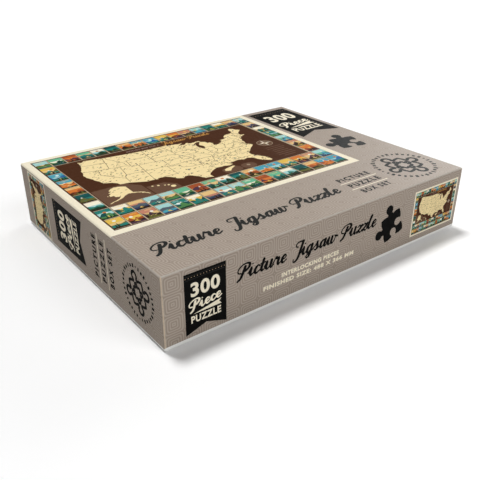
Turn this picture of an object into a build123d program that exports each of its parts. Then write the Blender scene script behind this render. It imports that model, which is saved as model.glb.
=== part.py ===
"""Boxed jigsaw puzzle: a telescoping set-up box, a film bag and 300 loose jigsaw pieces.

The box stands on its base with its picture side up. X runs along the long edge of the front,
Y runs to the back and Z is up. The origin is under the middle of the base.
"""

from build123d import *
import copy
import math
import os
import random

# ---- Driving dimensions, in millimetres ----

# Lid, outside its wrap
LID_LENGTH = 254.0
LID_WIDTH = 203.0
LID_HEIGHT = 47.0
BASE_REVEAL = 1.6  # how much of the base shows below the closed lid
LID_CLEARANCE = 0.8  # between the base's wall and the lid's wall, each side
RIM_GAP = 0.35  # between the base's rim and the underside of the lid's panel

# Materials of the box
BOARD = 1.5  # greyboard
PAPER = 0.25  # wrap paper with its glue
STAY_TAPE = 0.15  # gummed tape over each corner of the board
STAY_LEG = 18.0  # how far the tape reaches along each wall
STAY_INSET = 3.0  # from the tape's ends to the fold and to the wall's free edge
CORNER_SLIT = 0.12  # cut between two walls of the folded board
TURN_IN = 15.0  # how far the wrap turns in over a wall's free edge, or under the base
WRAP_CORNER = 1.2  # radius of the wrapped upright corners
WRAP_FOLD = 1.0  # radius of the wrapped fold round a panel
BOTTOM_PAPER_INSET = 3.0  # from the base's edge to the sheet pasted under it

# Jigsaw: 20 by 15 pieces
COLUMNS = 20
ROWS = 15
PIECE = 24.4  # pitch of the cut, which is one piece without its knobs
PIECE_THICKNESS = 1.9
KERF = 0.1  # width that the cutting rule presses out of each seam
HEAD_RADIUS = 3.3  # round head of a knob
HEAD_CENTRE = 3.6  # from the piece's edge to the middle of the head
NECK = 1.9  # half the knob's neck
KNOB_SHIFT = 1.6  # how far a knob may stand from the middle of its side

# The heap of loose pieces, in layers of 20 that start as 5 by 4 and are then shuffled
LAYERS = 15
HEAP_COLUMNS = 5
HEAP_ROWS = 4
HEAP_PITCH = 44.0
HEAP_REACH = 2.6  # how far a piece may lie outside the middle of an outer place
PIECE_ROOM = 38.8  # least distance between the middles of two pieces in a layer
SHUFFLES = 3000  # moves tried in a layer
SHUFFLE_STEP = 9.0
LAYER_PITCH = 2.05
SHUFFLE_SEED = 300

# Film bag
FILM = 0.3
BAG_LENGTH = 228.0
BAG_WIDTH = 184.0
BAG_CORNER = 16.0
BAG_EDGE = 4.0
BAG_ROOM = 0.2  # between the film and the heap, below and above
SEAL_LENGTH = 6.0  # heat-sealed strip at each end of the bag
SEAL_THICKNESS = 0.6
SEAL_SHORTER = 20.0  # how much narrower than the bag the seals lie

# ---- Sizes that follow ----

lid_bottom = BASE_REVEAL
lid_top = lid_bottom + LID_HEIGHT
lid_panel_underside = lid_top - PAPER - BOARD
base_height = lid_panel_underside - RIM_GAP
base_length = LID_LENGTH - 2 * (2 * PAPER + BOARD + LID_CLEARANCE)
base_width = LID_WIDTH - 2 * (2 * PAPER + BOARD + LID_CLEARANCE)
base_wrap_bottom = PAPER  # the wrap's turned-under edge lies on the bottom sheet
base_board_bottom = base_wrap_bottom + PAPER
tray_floor = base_board_bottom + BOARD

heap_bottom = tray_floor + FILM + BAG_ROOM
heap_height = LAYERS * LAYER_PITCH
bag_height = heap_height + 2 * (FILM + BAG_ROOM)

# A knob's outline: a round head that two small arcs join to the side of the piece.
# Each root arc touches the side and the head, which fixes its radius.
root_b = 2 * (HEAD_CENTRE + HEAD_RADIUS - NECK)
root_c = NECK**2 + HEAD_CENTRE**2 - HEAD_RADIUS**2
root_radius = (root_b - math.sqrt(root_b**2 - 4 * root_c)) / 2
root_x = NECK + root_radius
touch_share = root_radius / (root_radius + HEAD_RADIUS)
touch_x = root_x * (1 - touch_share)
touch_y = root_radius + (HEAD_CENTRE - root_radius) * touch_share


# ---- Box ----


def panel_plane(z, walls_up):
    """The plane of a tray's outer panel face, whose Z runs along the walls."""
    return Plane(origin=(0, 0, z), x_dir=(1, 0, 0), z_dir=(0, 0, 1 if walls_up else -1))


def folded_block(length, width, height, plane, corner, fold):
    """A block with rounded upright corners and a rounded fold round its panel face."""
    with BuildPart() as block:
        with BuildSketch(plane):
            RectangleRounded(length, width, corner)
        extrude(amount=height)
        panel = block.faces().sort_by(Axis((0, 0, 0), tuple(plane.z_dir)))[0]
        fillet(panel.edges(), fold)
    return block.part


def corner_strips(length, width, thickness):
    """Four L-shaped strips inside the corners of a rounded rectangle, drawn in a sketch."""
    RectangleRounded(length, width, WRAP_CORNER - PAPER)
    inner_corner = WRAP_CORNER - PAPER - thickness
    RectangleRounded(length - 2 * thickness, width - 2 * thickness, inner_corner, mode=Mode.SUBTRACT)
    Rectangle(length - 2 * STAY_LEG, width, mode=Mode.SUBTRACT)
    Rectangle(length, width - 2 * STAY_LEG, mode=Mode.SUBTRACT)


def corner_stays(length, width, height, plane):
    """Gummed tape that holds the four corners of a folded board, flush with its walls."""
    with BuildPart() as stays:
        with BuildSketch(plane.offset(STAY_INSET)):
            corner_strips(length, width, STAY_TAPE)
        extrude(amount=height - 2 * STAY_INSET)
    return stays.part


def folded_tray(length, width, height, plane):
    """One sheet of greyboard, scored and folded up to a tray, slit at its four corners."""
    outside = folded_block(length, width, height, plane, WRAP_CORNER - PAPER, WRAP_FOLD - PAPER)
    stays = corner_stays(length, width, height, plane)
    with BuildPart() as tray:
        add(outside)
        with BuildSketch(plane.offset(BOARD)):
            Rectangle(length - 2 * BOARD, width - 2 * BOARD)
        extrude(amount=height - BOARD, mode=Mode.SUBTRACT)
        with BuildSketch(plane.offset(BOARD)):
            with GridLocations(length - BOARD, width - 2 * BOARD - CORNER_SLIT, 2, 2):
                Rectangle(BOARD, CORNER_SLIT)
        extrude(amount=height - BOARD, mode=Mode.SUBTRACT)
        add(stays, mode=Mode.SUBTRACT)
    return tray.part


def wrap_paper(length, width, height, plane, panel_margin=None):
    """Paper glued round a tray's walls and turned in over their free edges.

    It covers the whole panel, or only panel_margin of it along each edge.
    """
    outside = folded_block(length, width, height, plane, WRAP_CORNER, WRAP_FOLD)
    board_length = length - 2 * PAPER
    board_width = width - 2 * PAPER
    board_room = folded_block(
        board_length,
        board_width,
        height - 2 * PAPER,
        plane.offset(PAPER),
        WRAP_CORNER - PAPER,
        WRAP_FOLD - PAPER,
    )
    inner_length = board_length - 2 * BOARD
    inner_width = board_width - 2 * BOARD
    with BuildPart() as wrap:
        add(outside)
        add(board_room, mode=Mode.SUBTRACT)
        with BuildSketch(plane.offset(height - TURN_IN)):
            Rectangle(inner_length, inner_width)
        extrude(amount=TURN_IN)
        with BuildSketch(plane.offset(height - TURN_IN)):
            Rectangle(inner_length - 2 * PAPER, inner_width - 2 * PAPER)
        extrude(amount=TURN_IN, mode=Mode.SUBTRACT)
        if panel_margin:
            with BuildSketch(plane):
                Rectangle(length - 2 * panel_margin, width - 2 * panel_margin)
            extrude(amount=PAPER, mode=Mode.SUBTRACT)
    return wrap.part


# ---- Jigsaw pieces ----

cutter = random.Random(SHUFFLE_SEED)


def cut_seam():
    """One seam between two pieces: which way its knob points, and how far it is off centre."""
    return cutter.choice((1, -1)), cutter.uniform(-KNOB_SHIFT, KNOB_SHIFT)


# A seam's knob points to the next column or to the next row when its sign is 1.
upright_seams = {(c, r): cut_seam() for r in range(ROWS) for c in range(COLUMNS - 1)}
level_seams = {(c, r): cut_seam() for r in range(ROWS - 1) for c in range(COLUMNS)}

with BuildSketch() as knob:
    with BuildLine():
        left_root = TangentArc((-root_x, 0), (-touch_x, touch_y), tangent=(1, 0))
        head = ThreePointArc(left_root @ 1, (0, HEAD_CENTRE + HEAD_RADIUS), (touch_x, touch_y))
        TangentArc((root_x, 0), head @ 1, tangent=(-1, 0))
        Line((-root_x, 0), (root_x, 0))
    make_face()
# Each side gets its own copy, because edges that many pieces share slow every later cut.
knob_face = knob.face()


def piece_sides(column, row):
    """The four sides of a piece, anticlockwise from +X.

    Each is its turn in degrees, its knob's sign (1 out, -1 in) and the knob's shift along the
    side as the seam has it. A side on the puzzle's border is straight and isn't listed.
    """
    sides = []
    for turn, seams, place, outward in (
        (0, upright_seams, (column, row), 1),
        (90, level_seams, (column, row), 1),
        (180, upright_seams, (column - 1, row), -1),
        (270, level_seams, (column, row - 1), -1),
    ):
        if place in seams:
            sign, shift = seams[place]
            sides.append((turn, sign * outward, shift))
    return sides


def draw_piece(column, row):
    """The outline of one piece, drawn in a sketch about the middle of the piece."""
    Rectangle(PIECE - KERF, PIECE - KERF)
    half = (PIECE - KERF) / 2
    for turn, sign, shift in piece_sides(column, row):
        along = shift if turn in (0, 270) else -shift
        with Locations(Location((0, 0, 0), (0, 0, turn))):
            with Locations(Location((half, along, 0), (0, 0, -90 * sign))):
                own_knob = copy.deepcopy(knob_face)
                add(own_knob, mode=Mode.ADD if sign > 0 else Mode.SUBTRACT)


def shuffled_places():
    """Where the middles of one layer's pieces lie, none of them touching another piece."""
    places = [
        ((c - (HEAP_COLUMNS - 1) / 2) * HEAP_PITCH, (r - (HEAP_ROWS - 1) / 2) * HEAP_PITCH)
        for r in range(HEAP_ROWS)
        for c in range(HEAP_COLUMNS)
    ]
    reach_x = (HEAP_COLUMNS - 1) / 2 * HEAP_PITCH + HEAP_REACH
    reach_y = (HEAP_ROWS - 1) / 2 * HEAP_PITCH + HEAP_REACH
    for _ in range(SHUFFLES):
        own = cutter.randrange(len(places))
        x = places[own][0] + cutter.uniform(-SHUFFLE_STEP, SHUFFLE_STEP)
        y = places[own][1] + cutter.uniform(-SHUFFLE_STEP, SHUFFLE_STEP)
        if abs(x) > reach_x or abs(y) > reach_y:
            continue
        others = places[:own] + places[own + 1 :]
        if all(math.dist((x, y), other) >= PIECE_ROOM for other in others):
            places[own] = (x, y)
    return places


def heap_layer(layer, pieces):
    """One layer of loose pieces, each turned anyhow and lying picture up or down."""
    bottom = heap_bottom + layer * LAYER_PITCH
    with BuildPart() as heap:
        for (x, y), (column, row) in zip(shuffled_places(), pieces):
            turn = cutter.uniform(0, 2 * math.pi)
            picture_up = cutter.random() < 0.5
            x_dir = (math.cos(turn), math.sin(turn), 0)
            if picture_up:
                plane = Plane(origin=(x, y, bottom), x_dir=x_dir, z_dir=(0, 0, 1))
            else:
                plane = Plane(origin=(x, y, bottom + PIECE_THICKNESS), x_dir=x_dir, z_dir=(0, 0, -1))
            with BuildSketch(plane):
                draw_piece(column, row)
            extrude(amount=PIECE_THICKNESS)
    return heap.part


# ---- Film bag ----


def bag_block(length, width, height, bottom, corner, edge):
    """A block with rounded upright corners and with rounded edges above and below."""
    with BuildPart() as block:
        with BuildSketch(Plane.XY.offset(bottom)):
            RectangleRounded(length, width, corner)
        extrude(amount=height)
        fillet(block.edges().group_by(Axis.Z)[0] + block.edges().group_by(Axis.Z)[-1], edge)
    return block.part


def film_bag():
    """A closed film bag that fits the heap, with a flat heat-sealed strip at each end."""
    outside = bag_block(BAG_LENGTH, BAG_WIDTH, bag_height, tray_floor, BAG_CORNER, BAG_EDGE)
    inside = bag_block(
        BAG_LENGTH - 2 * FILM,
        BAG_WIDTH - 2 * FILM,
        bag_height - 2 * FILM,
        tray_floor + FILM,
        BAG_CORNER - FILM,
        BAG_EDGE - FILM,
    )
    with BuildPart() as bag:
        with BuildSketch(Plane.XY.offset(tray_floor + (bag_height - SEAL_THICKNESS) / 2)):
            Rectangle(BAG_LENGTH + 2 * SEAL_LENGTH, BAG_WIDTH - 2 * SEAL_SHORTER)
        extrude(amount=SEAL_THICKNESS)
        add(outside)
        add(inside, mode=Mode.SUBTRACT)
    return bag.part


# ---- Making and writing the nodes ----


def write(name, part):
    part.label = name
    export_step(part, f"parts/{name}.step")


os.makedirs("parts", exist_ok=True)

lid_board_plane = panel_plane(lid_top - PAPER, walls_up=False)
lid_board_size = (LID_LENGTH - 2 * PAPER, LID_WIDTH - 2 * PAPER, LID_HEIGHT - 2 * PAPER)
write("lid_board", folded_tray(*lid_board_size, lid_board_plane))
write("lid_corner_stays", corner_stays(*lid_board_size, lid_board_plane))
lid_plane = panel_plane(lid_top, walls_up=False)
write("lid_wrap", wrap_paper(LID_LENGTH, LID_WIDTH, LID_HEIGHT, lid_plane))

base_board_plane = panel_plane(base_board_bottom, walls_up=True)
base_board_size = (base_length - 2 * PAPER, base_width - 2 * PAPER, base_height - 3 * PAPER)
write("base_board", folded_tray(*base_board_size, base_board_plane))
write("base_corner_stays", corner_stays(*base_board_size, base_board_plane))
base_plane = panel_plane(base_wrap_bottom, walls_up=True)
base_wrap = wrap_paper(base_length, base_width, base_height - PAPER, base_plane, TURN_IN)
write("base_wrap", base_wrap)

with BuildPart() as base_bottom_paper:
    with BuildSketch():
        RectangleRounded(
            base_length - 2 * BOTTOM_PAPER_INSET, base_width - 2 * BOTTOM_PAPER_INSET, WRAP_CORNER
        )
    extrude(amount=PAPER)
write("base_bottom_paper", base_bottom_paper.part)

write("piece_bag", film_bag())

all_pieces = [(c, r) for r in range(ROWS) for c in range(COLUMNS)]
cutter.shuffle(all_pieces)
pieces_a_layer = HEAP_COLUMNS * HEAP_ROWS
for layer in range(LAYERS):
    layer_pieces = all_pieces[layer * pieces_a_layer : (layer + 1) * pieces_a_layer]
    write(f"piece_layer_{layer + 1:02d}", heap_layer(layer, layer_pieces))
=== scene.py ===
"""Boxed jigsaw puzzle: the printed wrap, the base, the film bag and the loose pieces."""

import itertools
import math
import random

import bmesh
import bpy
import numpy
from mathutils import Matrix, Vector, noise
from mathutils.geometry import delaunay_2d_cdt


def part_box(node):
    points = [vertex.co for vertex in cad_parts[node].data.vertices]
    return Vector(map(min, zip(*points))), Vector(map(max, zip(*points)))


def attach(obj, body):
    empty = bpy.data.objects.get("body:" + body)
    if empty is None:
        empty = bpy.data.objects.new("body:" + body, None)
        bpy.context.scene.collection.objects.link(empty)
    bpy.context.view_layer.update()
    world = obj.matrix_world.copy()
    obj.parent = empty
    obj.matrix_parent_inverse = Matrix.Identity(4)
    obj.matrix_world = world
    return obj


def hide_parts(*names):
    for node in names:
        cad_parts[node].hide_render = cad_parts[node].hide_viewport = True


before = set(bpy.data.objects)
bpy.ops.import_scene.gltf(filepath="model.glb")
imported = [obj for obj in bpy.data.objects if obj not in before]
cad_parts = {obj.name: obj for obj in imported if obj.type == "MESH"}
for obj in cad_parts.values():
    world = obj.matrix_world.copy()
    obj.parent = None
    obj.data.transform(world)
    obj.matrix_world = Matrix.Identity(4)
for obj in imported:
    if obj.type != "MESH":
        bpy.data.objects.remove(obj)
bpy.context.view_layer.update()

MM = 0.001
lid_low, lid_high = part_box("lid_wrap")
LENGTH = (lid_high.x - lid_low.x) / MM
WIDTH = (lid_high.y - lid_low.y) / MM
WALL = (lid_high.z - lid_low.z) / MM
FOLD = 1.0  # radius of the lid's folds
INK = 0.03  # how far the ink stands above the wrap
INK_THICKNESS = 0.02
REPEAT = 12.7 * MM  # pitch of the wrap's nested squares
REPEAT_LINES = 8  # lines across one of them
WEAR_AND_HIGHLIGHT_WIDTH = 1.0 * MM  # how far from an edge the print is rubbed pale, with a painted highlight along the top rims, and where the rubbing and the highlight are full
WEAR_AND_HIGHLIGHT_FULL = 0.4 * MM
FRONT_FOOT = 2.1 * MM  # height of the white band along the wrap's foot on the front and back walls, and on the ends
END_FOOT = 0.8 * MM


def new_object(name, data):
    thing = bpy.data.objects.new(name, data)
    bpy.context.scene.collection.objects.link(thing)
    return thing


def written(text, parts=1):
    """The (x, y) points written in a text, in whole units or in parts of one."""
    return [tuple(float(value) / parts for value in point.split()) for point in text.split(",")]


def rgb(red, green, blue):
    """A colour for a shader, from its 0 to 255 display values."""
    def linear(value):
        share = value / 255
        return share / 12.92 if share <= 0.04045 else ((share + 0.055) / 1.055) ** 2.4
    return (linear(red), linear(green), linear(blue), 1.0)


# ---- Materials ----


class Nodes:
    """Short calls for the node tree of one material, or of the world."""

    def __init__(self, name, world=False):
        self.owner = (bpy.data.worlds if world else bpy.data.materials).new(name)
        self.owner.use_nodes = True
        self.tree = self.owner.node_tree
        self.shader = self.tree.nodes["Background" if world else "Principled BSDF"]

    def link(self, value, socket):
        if isinstance(value, bpy.types.NodeSocket):
            self.tree.links.new(value, socket)
        else:
            socket.default_value = value

    def add(self, kind, inputs=(), **settings):
        node = self.tree.nodes.new(kind)
        for name, value in settings.items():
            setattr(node, name, value)
        for name, value in dict(inputs).items():
            self.link(value, node.inputs[name])
        return node

    def math(self, operation, *values):
        node = self.add("ShaderNodeMath", operation=operation)
        for socket, value in zip(node.inputs, values):
            self.link(value, socket)
        return node.outputs[0]

    def noise(self, scale, detail=4.0, roughness=0.6, vector=None):
        inputs = {"Scale": scale, "Detail": detail, "Roughness": roughness, "Vector": vector or self.place()}
        return self.add("ShaderNodeTexNoise", inputs).outputs["Fac"]

    def place(self):
        return self.add("ShaderNodeTexCoord").outputs["Object"]

    def parts(self, kind):
        """The x, y and z of a texture coordinate."""
        coordinate = self.add("ShaderNodeTexCoord").outputs[kind]
        return self.add("ShaderNodeSeparateXYZ", {"Vector": coordinate}).outputs

    def clouds(self, scale, low=0.0, high=1.0):
        """Soft clouds between two values."""
        return self.range(self.noise(scale), 0.3, 0.7, low, high)

    def range(self, value, low, high, to_low, to_high):
        inputs = {"Value": value, "From Min": low, "From Max": high, "To Min": to_low, "To Max": to_high}
        return self.add("ShaderNodeMapRange", inputs, interpolation_type="SMOOTHSTEP").outputs[0]

    def mix(self, share, first, second):
        node = self.add("ShaderNodeMix", data_type="RGBA")
        for socket, value in zip((node.inputs[0], node.inputs[6], node.inputs[7]), (share, first, second)):
            self.link(value, socket)
        return node.outputs[2]

    def bump(self, height, distance, strength=1.0):
        inputs = {"Height": height, "Distance": distance, "Strength": strength}
        return self.add("ShaderNodeBump", inputs).outputs[0]

    def finish(self, **inputs):
        for name, value in inputs.items():
            self.link(value, self.shader.inputs[name.replace("_", " ")])
        return self.owner


def mottled(nodes, colour, amount, scale):
    """The colour with faint lighter and darker clouds in it."""
    darker, lighter = [tuple(min(1.0, c * f) for c in colour[:3]) + (1.0,) for f in (1 - amount, 1 + amount)]
    return nodes.mix(nodes.clouds(scale), darker, lighter)


def paper_bump(nodes):
    """The fine tooth of coated paper over board."""
    return nodes.bump(nodes.noise(2600, 3.0), 0.00002, 0.5)


def upright(nodes):
    """1 on the box's upright sides, which are rubbed duller in the hand, and 0 on level faces."""
    return nodes.range(nodes.math("ABSOLUTE", nodes.parts("Normal")[2]), 0.3, 0.7, 1.0, 0.0)


def satin(nodes, scale, low, high):
    """Roughness of the satin varnish."""
    return nodes.math("ADD", nodes.clouds(scale, low, high), nodes.math("MULTIPLY", upright(nodes), 0.3))


# Display colours of the wrap's ground and of the inks, 0 to 255
PALETTE = {
    "taupe": (152, 139, 127), "cream": (238, 229, 205), "map_cream": (240, 219, 166), "brown": (73, 43, 26),
    "light_brown": (102, 75, 58), "line_brown": (84, 58, 42), "tan": (160, 138, 114), "gold": (184, 134, 70),
    "mauve": (150, 128, 120), "black": (8, 8, 7), "charcoal": (40, 41, 40), "grey": (42, 43, 42),
    "paper": (240, 231, 208), "pale_blue": (160, 204, 200), "sky": (74, 156, 176), "teal": (40, 122, 112),
    "deep_teal": (24, 76, 76), "blue": (40, 98, 154), "navy": (48, 56, 86), "mint": (104, 178, 140),
    "green": (78, 128, 74), "forest": (26, 58, 40), "olive": (98, 98, 48), "yellow": (222, 184, 82),
    "sand": (222, 188, 128), "orange": (208, 118, 54), "rust": (156, 78, 44), "plum": (76, 52, 68),
    "white": (232, 232, 222), "slate": (80, 92, 102), "dark_bark": (46, 32, 24), "rose": (190, 128, 104),
    "ring": (188, 172, 144),
}

inks = {}


def ink(name):
    """Printed ink under the wrap's thin satin varnish."""
    if name not in inks:
        nodes = Nodes("ink_" + name)
        inks[name] = nodes.finish(
            Base_Color=mottled(nodes, rgb(*PALETTE[name]), 0.045, 900),
            Roughness=satin(nodes, 420, 0.41, 0.52),
            Specular_IOR_Level=0.06,
            Normal=paper_bump(nodes),
        )
    return inks[name]


def nested_squares(nodes, pitch, line_pitch):
    """How light the wrap's repeat is: rounded squares nested in each other, on every face."""
    at = nodes.parts("Object")
    facing = nodes.parts("Normal")
    side = nodes.math("GREATER_THAN", nodes.math("ABSOLUTE", facing[0]), 0.7)
    level = nodes.math("GREATER_THAN", nodes.math("ABSOLUTE", facing[2]), 0.7)
    across = nodes.add("ShaderNodeMix", {0: side, 2: at[0], 3: at[1]}).outputs[0]
    upward = nodes.add("ShaderNodeMix", {0: level, 2: at[2], 3: at[1]}).outputs[0]
    spans = []
    for value, start in ((across, lid_low.x), (upward, lid_high.z)):
        cell = nodes.math("FRACT", nodes.math("DIVIDE", nodes.math("SUBTRACT", value, start), pitch))
        spans.append(nodes.math("POWER", nodes.math("ABSOLUTE", nodes.math("SUBTRACT", cell, 0.5)), 7.0))
    reach = nodes.math("POWER", nodes.math("ADD", *spans), 1 / 7)
    wave = nodes.math("PINGPONG", nodes.math("MULTIPLY", reach, pitch / line_pitch), 0.5)
    return nodes.range(wave, 0.2, 0.3, 0.0, 1.0)


def wrap_material():
    """Taupe printed paper with a tone-on-tone repeat, rubbed pale on its corners, lighter along its top rims by a
    painted highlight with some wear, white along its foot.
    """
    nodes = Nodes("printed_wrap_paper")
    at = nodes.parts("Object")
    facing = nodes.parts("Normal")
    across_wall = nodes.math("ABSOLUTE", at[1])
    ground = mottled(nodes, rgb(*PALETTE["taupe"]), 0.03, 60)
    front_or_back = nodes.math("ABSOLUTE", facing[1])
    strength = nodes.math("ADD", nodes.math("MULTIPLY", front_or_back, 0.1), 0.9)
    repeat = nodes.math("MULTIPLY", nested_squares(nodes, REPEAT, REPEAT / REPEAT_LINES), strength)
    printed = nodes.mix(repeat, ground, rgb(174, 161, 148))
    near_end, near_side, near_top = [
        nodes.range(value, edge - WEAR_AND_HIGHLIGHT_WIDTH, edge - WEAR_AND_HIGHLIGHT_FULL, 0.0, 1.0)
        for value, edge in zip((nodes.math("ABSOLUTE", at[0]), across_wall, at[2]), lid_high)
    ]
    corner = nodes.math("MULTIPLY", near_end, near_side)
    # Painted highlight, partly wear: the print is mixed toward a light taupe along the top rims, where the folds
    # catch the light
    rim_wear_and_highlight = nodes.math("MULTIPLY", nodes.math("MAXIMUM", near_end, near_side), near_top)
    patchy = nodes.range(nodes.noise(700), 0.35, 0.6, 0.6, 1.0)
    printed = nodes.mix(nodes.math("MULTIPLY", rim_wear_and_highlight, patchy), printed, rgb(186, 178, 168))
    rubbed = nodes.math("MULTIPLY", corner, patchy)
    # A white band along the foot, taller on the front and back walls than on the ends
    taller = nodes.math("MULTIPLY", front_or_back, FRONT_FOOT - END_FOOT)
    foot_top = nodes.math("ADD", taller, lid_low.z + END_FOOT)
    foot = nodes.math("LESS_THAN", at[2], foot_top)
    return nodes.finish(
        Base_Color=nodes.mix(foot, nodes.mix(rubbed, printed, rgb(214, 196, 172)), rgb(247, 246, 243)),
        Roughness=satin(nodes, 300, 0.42, 0.54),
        Specular_IOR_Level=0.22,
        Normal=paper_bump(nodes),
    )


def white_paper_material():
    nodes = Nodes("white_wrap_paper")
    fibres = nodes.range(nodes.noise(1800, 6.0), 0.35, 0.7, 0.0, 1.0)
    clouds = nodes.range(nodes.noise(25), 0.35, 0.7, 0.0, 1.0)
    shade = nodes.mix(nodes.math("MULTIPLY", clouds, 0.6), rgb(246, 245, 241), rgb(234, 231, 224))
    return nodes.finish(
        Base_Color=nodes.mix(nodes.math("MULTIPLY", fibres, 0.25), shade, rgb(222, 218, 208)),
        Roughness=nodes.clouds(500, 0.62, 0.8),
        Normal=nodes.bump(nodes.noise(2200, 4.0), 0.00004, 0.6),
    )


def board_material(name, ground, fleck, scale):
    """Recycled board: a dull ground with long fibres and flecks."""
    nodes = Nodes(name)
    stretched = nodes.add("ShaderNodeMapping", {"Vector": nodes.place(), "Scale": (1.0, 0.35, 1.0)}).outputs[0]
    fibres = nodes.range(nodes.noise(scale, 8.0, 0.7, stretched), 0.42, 0.62, 0.0, 1.0)
    flecks = nodes.range(nodes.noise(scale * 2.3, 2.0), 0.62, 0.7, 0.0, 1.0)
    base = nodes.mix(nodes.math("MULTIPLY", fibres, 0.45), rgb(*ground), rgb(*fleck))
    return nodes.finish(
        Base_Color=nodes.mix(nodes.math("MULTIPLY", flecks, 0.5), base, rgb(78, 72, 64)),
        Roughness=nodes.range(fibres, 0.0, 1.0, 0.82, 0.93),
        Normal=nodes.bump(nodes.noise(scale * 1.5, 6.0), 0.00008, 0.7),
    )


def film_material():
    """Thin clear film: see-through, whiter along its stretch lines and small creases."""
    nodes = Nodes("bag_film")
    drawn = nodes.add("ShaderNodeMapping", {"Vector": nodes.place(), "Scale": (1.0, 0.3, 1.0)}).outputs[0]
    creases = nodes.math("ABSOLUTE", nodes.math("SUBTRACT", nodes.noise(60, 1.5, 0.45, drawn), 0.5))
    stretch = nodes.range(creases, 0.0, 0.03, 0.34, 0.07)
    return nodes.finish(
        Base_Color=nodes.mix(stretch, rgb(250, 252, 252), rgb(232, 236, 238)),
        Alpha=stretch,
        Roughness=nodes.clouds(260, 0.08, 0.2),
        Normal=nodes.bump(creases, 0.001, 0.7),
    )


# ---- Painting flat shapes ----
# A shape is an ink's name and its loops of (x, y) points in millimetres. A loop inside another
# loop of the same shape is a hole.


def tidy_loop(loop):
    """The loop without repeated points, counterclockwise; nothing if it has no area."""
    kept = [b for a, b in zip(loop[-1:] + loop[:-1], loop) if math.dist(a, b) > 0.001]
    turned = sum(a[0] * b[1] - b[0] * a[1] for a, b in zip(kept, kept[1:] + kept[:1]))
    if abs(turned) < 0.001:
        return []
    return kept if turned > 0 else kept[::-1]


def inside_shape(loops, spots):
    """Which of the spots lie inside the loops, by counting the edges to their right."""
    crossed = numpy.zeros(len(spots), int)
    for loop in loops:
        for (ax, ay), (bx, by) in zip(loop, loop[1:] + loop[:1]):
            if ay != by:
                spans = (spots[:, 1] < ay) != (spots[:, 1] < by)
                crossed += spans & (spots[:, 0] < ax + (spots[:, 1] - ay) * (bx - ax) / (by - ay))
    return crossed % 2 == 1


def paint(shapes, cuts=()):
    """Splits overlapping shapes into triangles, each with the ink of the topmost shape there."""
    shapes = [(ink_name, list(filter(None, map(tidy_loop, loops)))) for ink_name, loops in shapes]
    points = []
    edges = []
    for loop in [loop for _, loops in shapes for loop in loops] + list(cuts):
        first = len(points)
        points += [Vector(p) for p in loop]
        edges += [(i, i + 1) for i in range(first, len(points) - 1)]
        if len(loop) > 2:
            edges.append((len(points) - 1, first))
    flat, _, triangles, *_ = delaunay_2d_cdt(points, edges, [], 0, 1e-4, False)
    centres = numpy.array([[sum(flat[i][k] for i in t) / 3 for k in (0, 1)] for t in triangles])
    topmost = numpy.full(len(triangles), -1)
    for index, (_, loops) in enumerate(shapes):
        if loops:
            corners = numpy.array([p for loop in loops for p in loop])
            in_box = (centres > corners.min(axis=0)).all(axis=1) & (centres < corners.max(axis=0)).all(axis=1)
            near = numpy.flatnonzero(in_box)
            topmost[near[inside_shape(loops, centres[near])]] = index
    return flat, [(triangle, shapes[i][0]) for triangle, i in zip(triangles, topmost) if i >= 0]


def ink_sheet(name, painted, surface, change=None):
    """A thin sheet of ink on a surface, which is a function from (x, y, height) to a place."""
    flat, triangles = painted
    flat = moved(flat, **change) if change else flat
    used = sorted({i for triangle, _ in triangles for i in triangle})
    new_index = {old: new for new, old in enumerate(used)}
    names = sorted({ink_name for _, ink_name in triangles})
    mesh = bpy.data.meshes.new(name)
    verts = [surface(*flat[i], INK) for i in used]
    mesh.from_pydata(verts, [], [[new_index[i] for i in triangle] for triangle, _ in triangles])
    for ink_name in names:
        mesh.materials.append(ink(ink_name))
    for polygon, (_, ink_name) in zip(mesh.polygons, triangles):
        polygon.material_index = names.index(ink_name)
    piece = new_object(name, mesh)
    thicken = piece.modifiers.new("thickness", "SOLIDIFY")
    thicken.thickness = INK_THICKNESS * MM
    thicken.offset = -1.0
    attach(piece, "lid")


def rectangle(x, y, width, height):
    return [(x, y), (x + width, y), (x + width, y + height), (x, y + height)]


def disc(x, y, radius, count):
    turns = [2 * math.pi * i / count for i in range(count)]
    return [(x + radius * math.cos(t), y + radius * math.sin(t)) for t in turns]


def rounded_rectangle(x, y, width, height, radius, steps=4):
    left, right = x + radius, x + width - radius
    low, high = y + radius, y + height - radius
    loop = []
    for corner_x, corner_y, start in ((right, high, 0), (left, high, 90), (left, low, 180), (right, low, 270)):
        for step in range(steps + 1):
            turn = math.radians(start + 90 * step / steps)
            loop.append((corner_x + radius * math.cos(turn), corner_y + radius * math.sin(turn)))
    return loop


def moved(loop, x=0.0, y=0.0, scale=1.0, turn=0.0):
    """The loop scaled and turned in degrees about the origin, then moved."""
    cosine = math.cos(math.radians(turn)) * scale
    sine = math.sin(math.radians(turn)) * scale
    return [(x + u * cosine - v * sine, y + u * sine + v * cosine) for u, v in loop]


def moved_shapes(shapes, **change):
    return [(ink_name, [moved(loop, **change) for loop in loops]) for ink_name, loops in shapes]


def line(ink_name, start, end, width):
    """A straight stroke with square ends."""
    along = Vector(end) - Vector(start)
    side = Vector((-along.y, along.x)).normalized() * width / 2
    corners = [Vector(start) - side, Vector(end) - side, Vector(end) + side, Vector(start) + side]
    return (ink_name, [[(c.x, c.y) for c in corners]])


def lines(ink_name, points, width):
    return [line(ink_name, a, b, width) for a, b in zip(points, points[1:])]


# ---- Lettering ----


def smooth(spots, steps=4):
    """A Catmull-Rom curve through the spots."""
    padded = [spots[0]] + list(spots) + [spots[-1]]
    curve = []
    for a, b, c, d in zip(padded, padded[1:], padded[2:], padded[3:]):
        for t in (step / steps for step in range(steps)):
            curve.append(tuple(
                0.5 * (2 * q + (r - p) * t + (2 * p - 5 * q + 4 * r - s) * t * t + (3 * q - p - 3 * r + s) * t**3)
                for p, q, r, s in zip(a, b, c, d)
            ))
    return curve + [spots[-1]]


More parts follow.
